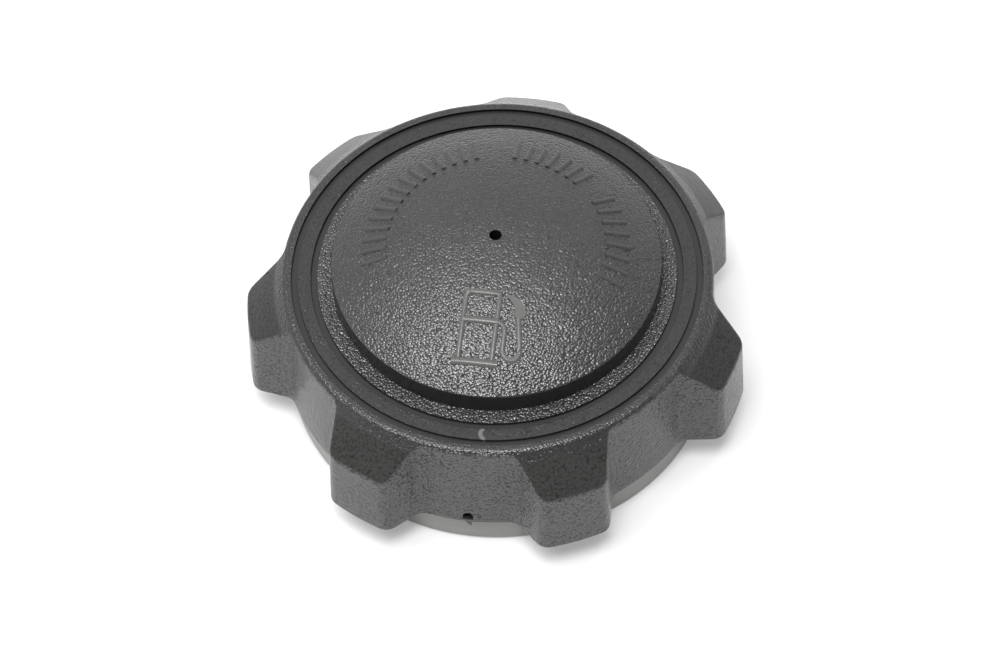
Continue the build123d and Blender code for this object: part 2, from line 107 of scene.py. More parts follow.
class Graph:
    """Short calls for the nodes that the finishes and the forms share."""

    def __init__(self, tree: bpy.types.NodeTree) -> None:
        """Keep the tree that the nodes go into.

        Args:
            tree: Empty shader tree or geometry tree.
        """
        self.tree = tree

    def node(self, kind: str, **settings: object) -> bpy.types.Node:
        """Add a node.

        Args:
            kind: The node's type name.
            settings: Properties to set on the node.

        Returns:
            The new node.
        """
        made = self.tree.nodes.new(kind)
        for name, value in settings.items():
            setattr(made, name, value)
        return made

    def feed(self, socket: Socket, value: object) -> None:
        """Link a socket to another, or give it a plain value.

        Args:
            socket: Input to fill.
            value: An output socket, or a number, vector or colour.
        """
        if isinstance(value, Socket):
            self.tree.links.new(value, socket)
        else:
            socket.default_value = value

    def math(self, operation: str, *values: Value) -> Socket:
        """Add a math node.

        Args:
            operation: Name of the operation.
            values: Its operands.

        Returns:
            The result's socket.
        """
        made = self.node("ShaderNodeMath", operation=operation)
        for socket, value in zip(made.inputs, values):
            self.feed(socket, value)
        return made.outputs[0]

    def vector(self, operation: str, *values: object) -> bpy.types.Node:
        """Add a vector math node.

        Args:
            operation: Name of the operation.
            values: Its operands.

        Returns:
            The node, whose outputs are Vector and Value.
        """
        made = self.node("ShaderNodeVectorMath", operation=operation)
        for socket, value in zip(made.inputs, values):
            self.feed(socket, value)
        return made

    def split(self, vector: Socket) -> bpy.types.NodeOutputs:
        """Split a vector.

        Args:
            vector: The vector's socket.

        Returns:
            The sockets of its three parts.
        """
        made = self.node("ShaderNodeSeparateXYZ")
        self.feed(made.inputs[0], vector)
        return made.outputs

    def combine(self, x: Value = 0.0, y: Value = 0.0, z: Value = 0.0) -> Socket:
        """Make a vector.

        Args:
            x: Its first part.
            y: Its second part.
            z: Its third part.

        Returns:
            The vector's socket.
        """
        made = self.node("ShaderNodeCombineXYZ")
        for socket, value in zip(made.inputs, (x, y, z)):
            self.feed(socket, value)
        return made.outputs[0]

    def step(self, value: Value, low: float, high: float) -> Socket:
        """Rise smoothly from 0 to 1 as a value goes from low to high.

        Args:
            value: The value that is tested.
            low: Where the step starts.
            high: Where the step ends.

        Returns:
            The step's socket.
        """
        made = self.node("ShaderNodeMapRange", interpolation_type="SMOOTHSTEP")
        for name, number in (("Value", value), ("From Min", low), ("From Max", high)):
            self.feed(made.inputs[name], number)
        return made.outputs[0]

    def blend(self, share: Value, first: Value, second: Value) -> Socket:
        """Mix two numbers.

        Args:
            share: Share of the second number.
            first: Number at share 0.
            second: Number at share 1.

        Returns:
            The mixed number's socket.
        """
        made = self.node("ShaderNodeMix", data_type="FLOAT")
        # The inputs for numbers are the first, third and fourth of the node.
        for place, value in ((0, share), (2, first), (3, second)):
            self.feed(made.inputs[place], value)
        return made.outputs[0]

    def total(self, values: Sequence[Value]) -> Value:
        """Add up several numbers.

        Args:
            values: At least one number.

        Returns:
            Their sum.
        """
        result = values[0]
        for value in values[1:]:
            result = self.math("ADD", result, value)
        return result


class Surface(Graph):
    """A material's tree round one Principled shader, in the object's own coordinates."""

    def __init__(self, name: str, roughness: float, metallic: float = 0.0) -> None:
        """Start the material.

        Args:
            name: The material's name.
            roughness: Even roughness, until one is fed in.
            metallic: 1 for bare metal.
        """
        self.material = bpy.data.materials.new(name)
        self.material.use_nodes = True
        super().__init__(self.material.node_tree)
        self.shader = self.tree.nodes["Principled BSDF"]
        self.shader.inputs["Roughness"].default_value = roughness
        self.shader.inputs["Metallic"].default_value = metallic
        self.place = self.node("ShaderNodeTexCoord")
        self.point = self.place.outputs["Object"]

    def noise(self, size: float, detail: float = 2.0, point: Socket | None = None) -> Socket:
        """Add soft noise.

        Args:
            size: Length of one wave.
            detail: Number of finer layers.
            point: Where it is read, by default the object's coordinates.

        Returns:
            The noise's socket, about 0 to 1.
        """
        made = self.node("ShaderNodeTexNoise")
        self.feed(made.inputs["Vector"], point or self.point)
        made.inputs["Scale"].default_value = 1 / size
        made.inputs["Detail"].default_value = detail
        return made.outputs[0]

    def cells(self, density: Value, point: Socket | None = None) -> Socket:
        """Add cells, as in a grained mould or a foam.

        Args:
            density: Cells in a metre.
            point: Where they are read, by default the object's coordinates.

        Returns:
            The distance from each cell's middle, in cells.
        """
        made = self.node("ShaderNodeTexVoronoi", feature="F1")
        self.feed(made.inputs["Vector"], point or self.point)
        self.feed(made.inputs["Scale"], density)
        return made.outputs["Distance"]

    def warped(self, size: float, reach: float) -> Socket:
        """Push the object's coordinates about with soft noise.

        Args:
            size: Length of one wave of the noise.
            reach: How far a point is pushed.

        Returns:
            The pushed coordinates.
        """
        made = self.node("ShaderNodeTexNoise")
        self.feed(made.inputs["Vector"], self.point)
        made.inputs["Scale"].default_value = 1 / size
        centred = self.vector("SUBTRACT", made.outputs["Color"], (0.5, 0.5, 0.5))
        pushed = self.node("ShaderNodeVectorMath", operation="SCALE")
        self.feed(pushed.inputs[0], centred.outputs[0])
        pushed.inputs["Scale"].default_value = 2 * reach
        return self.vector("ADD", self.point, pushed.outputs[0]).outputs[0]

    def paint(self, tint: Sequence[float], shade: Value) -> None:
        """Colour the surface with one tint at a varying shade.

        Args:
            tint: Red, green and blue at shade 1.
            shade: Factor on the tint.
        """
        made = self.node("ShaderNodeVectorMath", operation="SCALE")
        made.inputs[0].default_value = tint
        self.feed(made.inputs["Scale"], shade)
        self.feed(self.shader.inputs["Base Color"], made.outputs[0])

    def raise_by(self, height: Value) -> None:
        """Let the light see a relief of a height in metres.

        Args:
            height: Height of the relief.
        """
        made = self.node("ShaderNodeBump")
        made.inputs["Distance"].default_value = 1.0
        self.feed(made.inputs["Height"], height)
        self.feed(self.shader.inputs["Normal"], made.outputs[0])


@dataclass(frozen=True)
class Grain:
    """One zone's mould grain: its pebbles, and the shade, speckle and shine of its skin."""

    width: float
    height: float
    shade: float
    speckle: float
    shine: float


@dataclass(frozen=True)
class GrainedPlastic:
    """Black moulded plastic, with a pebbled grain that differs from zone to zone."""

    form: CapForm = CapForm()
    tint: Triple = (1.0, 0.99, 0.97)
    dome: Grain = Grain(width=0.47 * MM, height=0.13 * MM, shade=0.030, speckle=0.6, shine=0.75)
    inner: Grain = Grain(width=0.46 * MM, height=0.18 * MM, shade=0.030, speckle=0.6, shine=0.80)
    middle: Grain = Grain(width=0.48 * MM, height=0.07 * MM, shade=0.028, speckle=0.8, shine=0.50)
    rim: Grain = Grain(width=0.46 * MM, height=0.10 * MM, shade=0.032, speckle=0.8, shine=0.55)
    facet: Grain = Grain(width=0.48 * MM, height=0.05 * MM, shade=0.038, speckle=0.9, shine=0.15)
    skirt: Grain = Grain(width=0.46 * MM, height=0.18 * MM, shade=0.054, speckle=2.0, shine=0.40)
    # Colour of the smooth groove floors, darker than the lands: painted shade in the grooves.
    groove_painted_shade: float = 0.020
    smooth_shine: float = 0.50
    smooth_roughness: float = 0.34
    wall_shade: float = 0.010
    grain_roughness: float = 0.16
    blur_size: float = 3 * MM
    blur_reach: float = 0.06
    warp_size: float = 0.9 * MM
    warp_reach: float = 0.22 * MM
    wave_size: float = 2.6 * MM
    wave_share: float = 0.8
    cloud_size: float = 6 * MM
    cloud_reach: float = 0.3
    speckle_dip: float = -0.6
    darkest: float = 0.15
    nick_place: Triple = (-2.9 * MM, -33.6 * MM, CapForm.deck_height)
    nick_radius: float = 1.1 * MM
    nick_width: float = 0.45 * MM
    nick_shade: float = 0.12
    nick_side_shares: Span = (-0.1, -0.6)
    nick_warp_size: float = 0.7 * MM
    nick_warp_reach: float = 0.15 * MM
    level_facing: Span = (0.73, 0.77)
    rising_facing: Span = (0.45, 0.60)
    outward_facing: Span = (0.2, 0.5)
    groove_edge: float = 0.03 * MM
    zone_edge: float = 1 * MM

    def band(self, surface: Surface, radius: Value, start: float) -> Socket:
        """Mark a groove's floor.

        Args:
            surface: The material's tree.
            radius: Distance from the axis.
            start: Radius at which the groove starts.

        Returns:
            The mask, 1 on the groove's floor and 0 beside it.
        """
        end = start + self.form.groove_width
        inside = surface.step(radius, start - self.groove_edge, start + self.groove_edge)
        beyond = surface.step(radius, end - self.groove_edge, end + self.groove_edge)
        return surface.math("SUBTRACT", inside, beyond)

    def zones(self, surface: Surface) -> tuple[list[tuple[Grain, Value]], Value, Value]:
        """Tell the zones apart by place and by the way that the surface faces.

        Args:
            surface: The material's tree.

        Returns:
            Each grained zone with its mask, the mask of the grooves and that of the walls.
        """
        form = self.form
        x, y, z = surface.split(surface.point)[0:3]
        flat = surface.combine(x, y)
        radius = surface.vector("LENGTH", flat).outputs["Value"]
        facing = surface.place.outputs["Normal"]
        upward = surface.split(facing)[2]
        push = surface.vector("DOT_PRODUCT", facing, flat).outputs["Value"]
        outward = surface.math("DIVIDE", push, radius)

        level = surface.step(upward, *self.level_facing)
        rising = surface.step(upward, *self.rising_facing)
        edge = self.zone_edge
        high = surface.step(z, form.deck_height + edge, form.deck_height + 2 * edge)
        inner_groove = self.band(surface, radius, form.inner_groove_radius)
        outer_groove = self.band(surface, radius, form.outer_groove_radius)
        grooves = surface.math("ADD", inner_groove, outer_groove)
        outer = surface.step(radius, form.facet_start_radius - edge, form.facet_start_radius)
        lobes = surface.step(
            radius, form.valley_radius - self.groove_edge, form.valley_radius + edge
        )
        sloping = surface.math("SUBTRACT", rising, level)
        facet = surface.math("MULTIPLY", sloping, lobes)
        bend = surface.math("SUBTRACT", sloping, facet)
        dome = surface.math("MULTIPLY", level, high)
        deck = surface.math("SUBTRACT", level, dome)
        plain = surface.math("MULTIPLY", deck, grooves)
        raised = surface.math("SUBTRACT", deck, plain)
        past_inner, past_outer = (
            surface.step(radius, start, start + self.groove_edge)
            for start in (form.inner_groove_radius, form.outer_groove_radius)
        )
        middle = surface.math("MULTIPLY", raised, surface.math("SUBTRACT", past_inner, past_outer))
        inner = surface.math("MULTIPLY", raised, surface.math("SUBTRACT", 1.0, past_inner))
        rim = surface.math("MULTIPLY_ADD", raised, past_outer, bend)
        upright = surface.math("SUBTRACT", 1.0, rising)
        side = surface.math("MULTIPLY", upright, surface.step(outward, *self.outward_facing))
        skirt = surface.math("MULTIPLY", side, outer)
        wall = surface.math("SUBTRACT", side, skirt)
        grained = [
            (self.dome, dome),
            (self.inner, inner),
            (self.middle, middle),
            (self.rim, rim),
            (self.facet, facet),
            (self.skirt, skirt),
        ]
        return grained, plain, wall

    def nick(self, surface: Surface) -> Socket:
        """Mark a small pale crescent where the deck was knocked.

        Args:
            surface: The material's tree.

        Returns:
            The mask, 1 on the crescent and 0 elsewhere.
        """
        pushed = surface.warped(self.nick_warp_size, self.nick_warp_reach)
        away = surface.vector("SUBTRACT", pushed, self.nick_place)
        gap = surface.vector("LENGTH", away.outputs[0]).outputs["Value"]
        off = surface.math("ABSOLUTE", surface.math("SUBTRACT", gap, self.nick_radius))
        beside = surface.step(off, self.nick_width / 2, self.nick_width)
        line = surface.math("SUBTRACT", 1.0, beside)
        leftward = surface.split(away.outputs[0])[0]
        half = surface.step(leftward, *(share * self.nick_radius for share in self.nick_side_shares))
        return surface.math("MULTIPLY", line, half)

    def build(self) -> bpy.types.Material:
        """Make the material.

        Returns:
            The grip's material.
        """
        surface = Surface("grained_grip_plastic", self.grain_roughness)
        grained, plain, wall = self.zones(surface)

        def over_zones(pick: Callable[[Grain], float]) -> Value:
            """Return one of the zones' numbers, as it changes over the surface."""
            return surface.total([surface.math("MULTIPLY", m, pick(g)) for g, m in grained])

        density: Value = 1 / self.dome.width
        for grain, mask in grained[1:]:
            change = 1 / grain.width - 1 / self.dome.width
            density = surface.math("MULTIPLY_ADD", mask, change, density)
        pebbles = surface.cells(density, surface.warped(self.warp_size, self.warp_reach))
        crest = surface.math("SUBTRACT", 1.0, surface.math("MULTIPLY", pebbles, pebbles))
        waves = surface.math("MULTIPLY", surface.noise(self.wave_size, 1.0), self.wave_share)
        relief = surface.math("ADD", crest, waves)
        surface.raise_by(surface.math("MULTIPLY", relief, over_zones(lambda g: g.height)))

        base = over_zones(lambda g: g.shade)
        # The groove floors are smooth, and their colour is darker than the lands': painted shade in
        # the grooves.
        base = surface.math("MULTIPLY_ADD", plain, self.groove_painted_shade, base)
        base = surface.math("MULTIPLY_ADD", wall, self.wall_shade, base)
        base = surface.math("MAXIMUM", base, self.wall_shade)
        speckle = over_zones(lambda g: g.speckle)
        lift = surface.math("MULTIPLY", speckle, crest)
        dim = surface.math("MULTIPLY_ADD", speckle, self.speckle_dip, 1.0)
        cloud = surface.noise(self.cloud_size, 3.0)
        cloud = surface.math("MULTIPLY_ADD", cloud, self.cloud_reach, -self.cloud_reach / 2)
        mottle = surface.math("MAXIMUM", surface.total([lift, dim, cloud]), self.darkest)
        shade = surface.math("MULTIPLY", base, mottle)
        knock = self.nick(surface)
        surface.paint(self.tint, surface.math("MULTIPLY_ADD", knock, self.nick_shade, shade))

        smooth = surface.math("ADD", plain, wall)
        gloss = surface.math("MULTIPLY", smooth, self.smooth_roughness - self.grain_roughness)
        blur = surface.math("MULTIPLY", surface.noise(self.blur_size), self.blur_reach)
        rough = surface.total([gloss, blur, self.grain_roughness])
        surface.feed(surface.shader.inputs["Roughness"], rough)
        shine = over_zones(lambda g: g.shine)
        shine = surface.math("MULTIPLY_ADD", smooth, self.smooth_shine, shine)
        surface.feed(surface.shader.inputs["Specular IOR Level"], shine)
        return surface.material


@dataclass(frozen=True)
class SatinPlastic:
    """Smooth moulded plastic with faint flow streaks."""

    name: str = "satin_closure_plastic"
    tint: Triple = (1.0, 0.985, 0.965)
    shade: float = 0.30
    roughness: float = 0.36
    shade_spread: float = 0.3
    roughness_spread: float = 0.12
    streak_size: float = 2.5 * MM
    streak_squeeze: Triple = (0.35, 0.35, 1.6)
    skin_size: float = 0.25 * MM
    skin_height: float = 0.006 * MM

    def build(self) -> bpy.types.Material:
        """Make the material.

        Returns:
            The smooth plastic.
        """
        surface = Surface(self.name, self.roughness)
        squeezed = surface.vector("MULTIPLY", surface.point, self.streak_squeeze).outputs[0]
        streaks = surface.noise(self.streak_size, 3.0, squeezed)
        darker = (1 - self.shade_spread / 2) * self.shade
        shade = surface.math("MULTIPLY_ADD", streaks, self.shade_spread * self.shade, darker)
        surface.paint(self.tint, shade)
        surface.raise_by(surface.math("MULTIPLY", surface.noise(self.skin_size), self.skin_height))
        smoother = self.roughness - self.roughness_spread / 2
        rough = surface.math("MULTIPLY_ADD", streaks, self.roughness_spread, smoother)
        surface.feed(surface.shader.inputs["Roughness"], rough)
        return surface.material


@dataclass(frozen=True)
class SealRubber:
    """Matt black rubber with a faint bloom."""

    tint: Triple = (1.0, 1.0, 1.0)
    shade: float = 0.022
    roughness: float = 0.72
    roughness_spread: float = 0.2
    bloom_size: float = 1.4 * MM
    skin_size: float = 0.12 * MM
    skin_height: float = 0.01 * MM

    def build(self) -> bpy.types.Material:
        """Make the material.

        Returns:
            The rubber.
        """
        surface = Surface("black_seal_rubber", self.roughness)
        bloom = surface.noise(self.bloom_size, 4.0)
        surface.paint(self.tint, surface.math("MULTIPLY_ADD", bloom, self.shade, self.shade / 2))
        surface.raise_by(surface.math("MULTIPLY", surface.noise(self.skin_size), self.skin_height))
        smoother = self.roughness - self.roughness_spread / 2
        rough = surface.math("MULTIPLY_ADD", bloom, self.roughness_spread, smoother)
        surface.feed(surface.shader.inputs["Roughness"], rough)
        return surface.material


@dataclass(frozen=True)
class DrawnSteel:
    """Bright spring wire with fine drawing lines."""

    tint: Triple = (1.0, 0.99, 0.97)
    shade: float = 0.55
    roughness: float = 0.28
    spread: float = 0.2
    line_size: float = 0.5 * MM
    line_squeeze: Triple = (1.0, 1.0, 9.0)

    def build(self) -> bpy.types.Material:
        """Make the material.

        Returns:
            The steel.
        """
        surface = Surface("drawn_spring_wire", self.roughness, 1.0)
        squeezed = surface.vector("MULTIPLY", surface.point, self.line_squeeze).outputs[0]
        lines = surface.noise(self.line_size, point=squeezed)
        darker = self.shade - self.spread / 2
        surface.paint(self.tint, surface.math("MULTIPLY_ADD", lines, self.spread, darker))
        smoother = self.roughness - self.spread / 2
        rough = surface.math("MULTIPLY_ADD", lines, self.spread, smoother)
        surface.feed(surface.shader.inputs["Roughness"], rough)
        return surface.material


@dataclass(frozen=True)
class OpenFoam:
    """Grey open-cell foam."""

    tint: Triple = (1.0, 0.97, 0.92)
    shade: float = 0.07
    roughness: float = 0.9
    pore_size: float = 0.5 * MM
    pore_depth: float = 0.3 * MM

    def build(self) -> bpy.types.Material:
        """Make the material.

        Returns:
            The foam.
        """
        surface = Surface("open_filter_foam", self.roughness)
        pores = surface.cells(1 / self.pore_size)
        surface.paint(self.tint, surface.math("MULTIPLY", pores, 2 * self.shade))
        surface.raise_by(surface.math("MULTIPLY", pores, self.pore_depth))
        return surface.material


@dataclass(frozen=True)
class FloorPaper:
    """White sheet that the cap stands on, a little lighter to the camera and to gloss."""

    tint: Triple = (1.0, 1.0, 1.0)
    shade: float = 0.70
    lift: float = 0.26
    roughness: float = 0.9
    fibre_size: float = 0.6 * MM
    fibre_spread: float = 0.02

    def build(self) -> bpy.types.Material:
        """Make the material.

        Returns:
            The sheet's material.
        """
        surface = Surface("white_sheet", self.roughness)
        fibre = surface.noise(self.fibre_size)
        shade = surface.math("MULTIPLY_ADD", fibre, self.fibre_spread, self.shade)
        surface.paint(self.tint, shade)
        rays = surface.node("ShaderNodeLightPath").outputs
        seen = surface.math("MAXIMUM", rays["Is Camera Ray"], rays["Is Glossy Ray"])
        seen = surface.math("MAXIMUM", seen, rays["Is Transmission Ray"])
        surface.shader.inputs["Emission Color"].default_value = WHITE
        lift = surface.math("MULTIPLY", seen, self.lift)
        surface.feed(surface.shader.inputs["Emission Strength"], lift)
        return surface.material


class Finishes:
    """The finish of each material slot, made once and shared by all pieces."""

    def __init__(self) -> None:
        """Build the finishes."""
        acetal = SatinPlastic(
            name="natural_acetal", tint=(1.0, 0.98, 0.93), shade=0.72, roughness=0.35
        )
        self.by_slot: dict[Slot, bpy.types.Material] = {
            Slot.GRIP: GrainedPlastic().build(),
            Slot.CLOSURE: SatinPlastic().build(),
            Slot.ACETAL: acetal.build(),
            Slot.RUBBER: SealRubber().build(),
            Slot.STEEL: DrawnSteel().build(),
            Slot.FOAM: OpenFoam().build(),
        }
        self.bars = SatinPlastic("raised_bar_plastic", shade=0.050, roughness=0.26).build()
        # The sign's strokes get a lighter copy of the bars' plastic: a painted highlight for the
        # light that catches their tops and edges.
        self.sign = SatinPlastic("raised_sign_painted_lighter", shade=0.11, roughness=0.28).build()

    def dress_frame(self) -> None:
        """Give every node of the frame the finish of its material slot."""
        for row in frame["record"]["subparts"]:
            node = frame["nodes"][row["node"]]
            finish = self.by_slot[Slot(row["material_slot"])]
            node.data.materials.clear()
            node.data.materials.append(finish)
            log.info("%s is dressed in %s", row["node"], finish.name)


class FormTree(Graph):
    """A geometry tree with named inputs that is run once on an object and then baked."""

    def __init__(self, name: str) -> None:
        """Start the tree.

        Args:
            name: The tree's name.
        """
        super().__init__(bpy.data.node_groups.new(name, "GeometryNodeTree"))
        for way in ("INPUT", "OUTPUT"):
            self.tree.interface.new_socket("Geometry", in_out=way, socket_type="NodeSocketGeometry")
        self.start = self.node("NodeGroupInput")
        self.end = self.node("NodeGroupOutput")
        self.sizes: dict[str, float | int] = {}

    def size(self, name: str, value: float | int) -> Socket:
        """Add a named input.

        Args:
            name: The input's name.
            value: The size that it gets.

        Returns:
            The input's socket inside the tree.
        """
        kind = "NodeSocketInt" if isinstance(value, int) else "NodeSocketFloat"
        self.tree.interface.new_socket(name, in_out="INPUT", socket_type=kind)
        self.sizes[name] = value
        return self.start.outputs[name]

    def drape(self, shape: Socket, form: CapForm) -> Socket:
        """Lay a flat form on the dome, keeping each point's height as its height above it.

        Args:
            shape: Geometry that lies on z = 0.
            form: The cap's sizes.

        Returns:
            The draped geometry.
        """
        x, y, z = self.split(self.node("GeometryNodeInputPosition").outputs[0])[0:3]
        ball = self.size("Sphere Radius", form.sphere_radius)
        centre = self.size("Sphere Height", form.sphere_height)
        reach = self.math("ADD", ball, z)
        plan = self.math("ADD", self.math("MULTIPLY", x, x), self.math("MULTIPLY", y, y))
        rise = self.math("SQRT", self.math("SUBTRACT", self.math("MULTIPLY", reach, reach), plan))
        place = self.combine(x, y, self.math("ADD", centre, rise))
        moved = self.node("GeometryNodeSetPosition")
        self.feed(moved.inputs["Geometry"], shape)
        self.feed(moved.inputs["Position"], place)
        return moved.outputs[0]

    def stroke(self, path: Socket, width: Value, height: Value, foot: Value) -> Socket:
        """Run a raised trapezoid stroke along flat curves.

        Args:
            path: Curves on z = 0.
            width: Width of the stroke's top.
            height: Height of the stroke.
            foot: How far each side slopes out on its way down to z = 0.

        Returns:
            The stroke's mesh, which reaches as far below z = 0 as above it.
        """
        section = self.node("GeometryNodeCurvePrimitiveQuadrilateral", mode="TRAPEZOID")
        section.inputs["Offset"].default_value = 0.0
        self.feed(section.inputs["Height"], self.math("MULTIPLY", height, 2.0))
        self.feed(section.inputs["Bottom Width"], width)
        self.feed(section.inputs["Top Width"], self.math("MULTIPLY_ADD", foot, 4.0, width))
        upright = self.node("GeometryNodeSetCurveNormal", mode="Z_UP")
        self.feed(upright.inputs[0], path)
        swept = self.node("GeometryNodeCurveToMesh")
        self.feed(swept.inputs["Curve"], upright.outputs[0])
        self.feed(swept.inputs["Profile Curve"], section.outputs[0])
        swept.inputs["Fill Caps"].default_value = True
        return swept.outputs[0]

    def bake(
        self, piece: bpy.types.Object, shape: Socket, finish: bpy.types.Material
    ) -> bpy.types.Object:
        """Finish the tree, run it on an object and keep the result as a plain mesh.

        Args:
            piece: Object that the tree starts from.
            shape: Geometry that the tree ends in.
            finish: Material of the result.

        Returns:
            A mesh object of the same name, at the origin.
        """
        whole = self.node("GeometryNodeRealizeInstances")
        self.feed(whole.inputs[0], shape)
        dressed = self.node("GeometryNodeSetMaterial")
        self.feed(dressed.inputs["Geometry"], whole.outputs[0])
        dressed.inputs["Material"].default_value = finish
        self.feed(self.end.inputs[0], dressed.outputs[0])
        modifier = piece.modifiers.new("form", "NODES")
        modifier.node_group = self.tree
        for socket in self.tree.interface.items_tree:
            if socket.in_out == "INPUT" and socket.name in self.sizes:
                modifier[socket.identifier] = self.sizes[socket.name]
        graph = bpy.context.evaluated_depsgraph_get()
        mesh = bpy.data.meshes.new_from_object(piece.evaluated_get(graph), depsgraph=graph)
        name = piece.name
        bpy.data.objects.remove(piece)
        mesh.name = name
        result = bpy.data.objects.new(name, mesh)
        bpy.context.scene.collection.objects.link(result)
        return result


def bare_object(name: str, data: bpy.types.ID | None = None) -> bpy.types.Object:
    """Add an object at the origin.

    Args:
        name: The object's name.
        data: Its mesh or curve, by default an empty mesh.

    Returns:
        The object.
    """
    made = bpy.data.objects.new(name, data or bpy.data.meshes.new(name))
    bpy.context.scene.collection.objects.link(made)
    return made


@dataclass
class NeckThread:
    """Inside thread of the closure, a helical ridge with square-cut ends."""

    root_radius: float = 32.1 * MM
    ridge_height: float = 1.5 * MM
    root_width: float = 2.6 * MM
    crest_width: float = 0.9 * MM
    pitch: float = 6.0 * MM
    turns: float = 1.75
    first_height: float = 2.4 * MM
    seat: float = 0.15 * MM
    steps_per_turn: int = 96

    def build(self, finish: bpy.types.Material) -> bpy.types.Object:
        """Make the ridge and let it ride on the closure.

        Args:
            finish: The closure's plastic.

        Returns:
            The ridge.
        """
        tree = FormTree("neck_thread_form")
        coil = tree.node("GeometryNodeCurveSpiral")
        wall = tree.size("Root Radius", self.root_radius + self.seat)
        for name in ("Start Radius", "End Radius"):
            tree.feed(coil.inputs[name], wall)
        tree.feed(coil.inputs["Height"], tree.size("Rise", self.turns * self.pitch))
        tree.feed(coil.inputs["Rotations"], tree.size("Turns", self.turns))
        tree.feed(coil.inputs["Resolution"], tree.size("Steps Per Turn", self.steps_per_turn))
        lifted = tree.node("GeometryNodeSetPosition")
        tree.feed(lifted.inputs["Geometry"], coil.outputs[0])
        first_height = tree.size("First Height", self.first_height)
        tree.feed(lifted.inputs["Offset"], tree.combine(z=first_height))
        upright = tree.node("GeometryNodeSetCurveNormal", mode="Z_UP")
        tree.feed(upright.inputs[0], lifted.outputs[0])
        swept = tree.node("GeometryNodeCurveToMesh")
        tree.feed(swept.inputs["Curve"], upright.outputs[0])
        tree.feed(swept.inputs["Profile Curve"], self.section(tree))
        swept.inputs["Fill Caps"].default_value = True
        piece = tree.bake(bare_object("neck_thread"), swept.outputs[0], finish)
        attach(piece, Body.CLOSURE.value)
        return piece

    def section(self, tree: FormTree) -> Socket:
        """Draw the ridge's trapezoid section with its foot on the wall.

        Args:
            tree: The thread's tree.

        Returns:
            The section's curve.
        """
        shape = tree.node("GeometryNodeCurvePrimitiveQuadrilateral", mode="TRAPEZOID")
        shape.inputs["Offset"].default_value = 0.0
        height = tree.size("Ridge Height", self.ridge_height + self.seat)
        tree.feed(shape.inputs["Height"], height)
        tree.feed(shape.inputs["Bottom Width"], tree.size("Root Width", self.root_width))
        tree.feed(shape.inputs["Top Width"], tree.size("Crest Width", self.crest_width))
        turned = tree.node("GeometryNodeTransform")
        tree.feed(turned.inputs["Geometry"], shape.outputs[0])
        tree.feed(turned.inputs["Translation"], tree.combine(tree.math("MULTIPLY", height, 0.5)))
        turned.inputs["Rotation"].default_value = (0.0, 0.0, -math.pi / 2)
        return turned.outputs[0]


@dataclass(frozen=True)
class BarGroup:
    """One run of bars: the azimuths of its first and last bar in degrees, and their count."""

    start: float
    end: float
    count: int


@dataclass
class DomeBars:
    """Arc of short raised bars round the dome, in three groups."""

    form: CapForm = CapForm()
    middle_radius: float = 21.3 * MM
    length: float = 4.2 * MM
    width: float = 0.7 * MM
    height: float = 0.22 * MM
    foot: float = 0.12 * MM
    groups: tuple[BarGroup, ...] = (
        BarGroup(184.0, 98.0, 15),
        BarGroup(78.0, 42.0, 7),
        BarGroup(26.0, -22.0, 8),
    )

    def build(self, finish: bpy.types.Material) -> bpy.types.Object:
        """Make the bars and let them ride on the grip.

        Args:
            finish: Smooth plastic of the raised marks.

        Returns:
            The bars, as one mesh.
        """
        tree = FormTree("dome_bars_form")
        half = tree.math("MULTIPLY", tree.size("Bar Length", self.length), 0.5)
        bar = tree.node("GeometryNodeCurvePrimitiveLine")
        tree.feed(bar.inputs["Start"], tree.combine(tree.math("MULTIPLY", half, -1.0)))
        tree.feed(bar.inputs["End"], tree.combine(half))
        ring = tree.size("Middle Radius", self.middle_radius)
        joined = tree.node("GeometryNodeJoinGeometry")
        for number, group in enumerate(self.groups, 1):
            tree.feed(joined.inputs[0], self.set_out(tree, bar.outputs[0], ring, number, group))
        whole = tree.node("GeometryNodeRealizeInstances")
        tree.feed(whole.inputs[0], joined.outputs[0])
        stroke = tree.stroke(
            whole.outputs[0],
            tree.size("Bar Width", self.width),
            tree.size("Bar Height", self.height),
            tree.size("Foot", self.foot),
        )
        piece = tree.bake(bare_object("dome_bars"), tree.drape(stroke, self.form), finish)
        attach(piece, Body.GRIP.value)
        return piece

    def set_out(
        self,
        tree: FormTree,
        bar: Socket,
        ring: Socket,
        number: int,
        group: BarGroup,
    ) -> Socket:
        """Set out one group of bars along its arc.

        Args:
            tree: The bars' tree.
            bar: One bar's line, along X at the origin.
            ring: Radius of the bars' middles.
            number: The group's number.
            group: The group's reach and count.

        Returns:
            The group's instances.
        """
        first = tree.size(f"Group {number} Start", math.radians(group.start))
        span = tree.size(f"Group {number} Span", math.radians(group.end - group.start))
        bars = tree.size(f"Group {number} Bars", group.count)
        points = tree.node("GeometryNodePoints")
        tree.feed(points.inputs["Count"], bars)
        index = tree.node("GeometryNodeInputIndex").outputs[0]
        share = tree.math("DIVIDE", index, tree.math("SUBTRACT", bars, 1.0))
        azimuth = tree.math("MULTIPLY_ADD", share, span, first)
        x = tree.math("MULTIPLY", ring, tree.math("COSINE", azimuth))
        y = tree.math("MULTIPLY", ring, tree.math("SINE", azimuth))
        tree.feed(points.inputs["Position"], tree.combine(x, y))
        copies = tree.node("GeometryNodeInstanceOnPoints")
        tree.feed(copies.inputs["Points"], points.outputs[0])
        tree.feed(copies.inputs["Instance"], bar)
        tree.feed(copies.inputs["Rotation"], tree.combine(z=azimuth))
        return copies.outputs[0]


